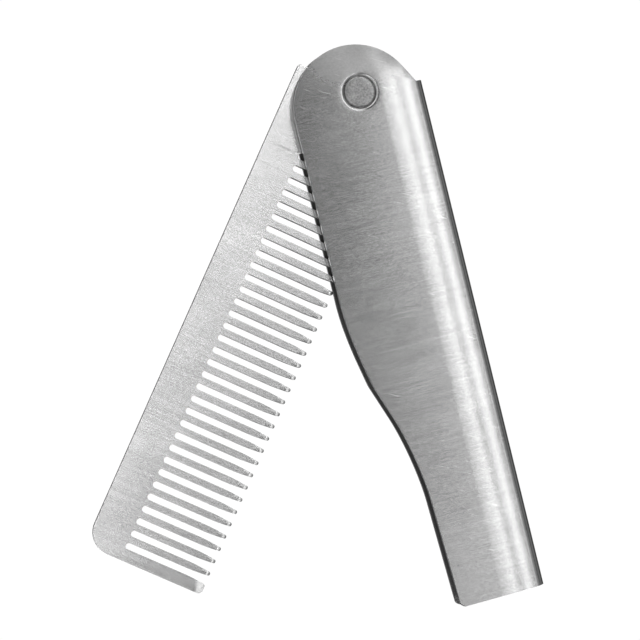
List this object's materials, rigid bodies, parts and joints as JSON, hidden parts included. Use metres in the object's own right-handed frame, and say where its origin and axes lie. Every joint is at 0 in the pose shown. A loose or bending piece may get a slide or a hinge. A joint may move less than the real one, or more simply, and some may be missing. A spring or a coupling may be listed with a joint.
{
  "type": "folding beard comb",
  "caption": "Folding pocket beard comb: a toothed steel plate turns on a flush rivet and swings out of the open edge of a folded, waisted steel sheath.",
  "frame": {"origin": "on the pivot axis, in the plane of the sheath's rear face and the flush rear rivet head", "axes": "+X towards the sheath's folded spine, +Y along the sheath from the butt towards the round end, +Z along the pivot axis from the rear face to the front face"},
  "size_m": [0.0697, 0.0931, 0.0042],
  "materials": {
    "sheath_steel": "stainless steel brushed across the sheath's width, satin",
    "comb_steel": "stainless steel brushed across the comb's width, satin",
    "rivet_steel": "stainless steel, tumbled satin head with rounded rim",
    "washer_steel": "stainless steel, plain rolled shim"
  },
  "bodies": {
    "sheath_body": {"sheath": "sheath_steel", "rivet_socket": "rivet_steel", "rivet_pin": "rivet_steel", "washer_front": "washer_steel", "washer_rear": "washer_steel"},
    "comb_body": {"comb_plate": "comb_steel"}
  },
  "joints": [
    {"name": "comb_pivot", "type": "hinge", "parent": "sheath_body", "child": "comb_body", "pos_m": [0, 0, 0.0021], "axis": [0, 0, -1], "range_deg": [-38, 142]}
  ]
}
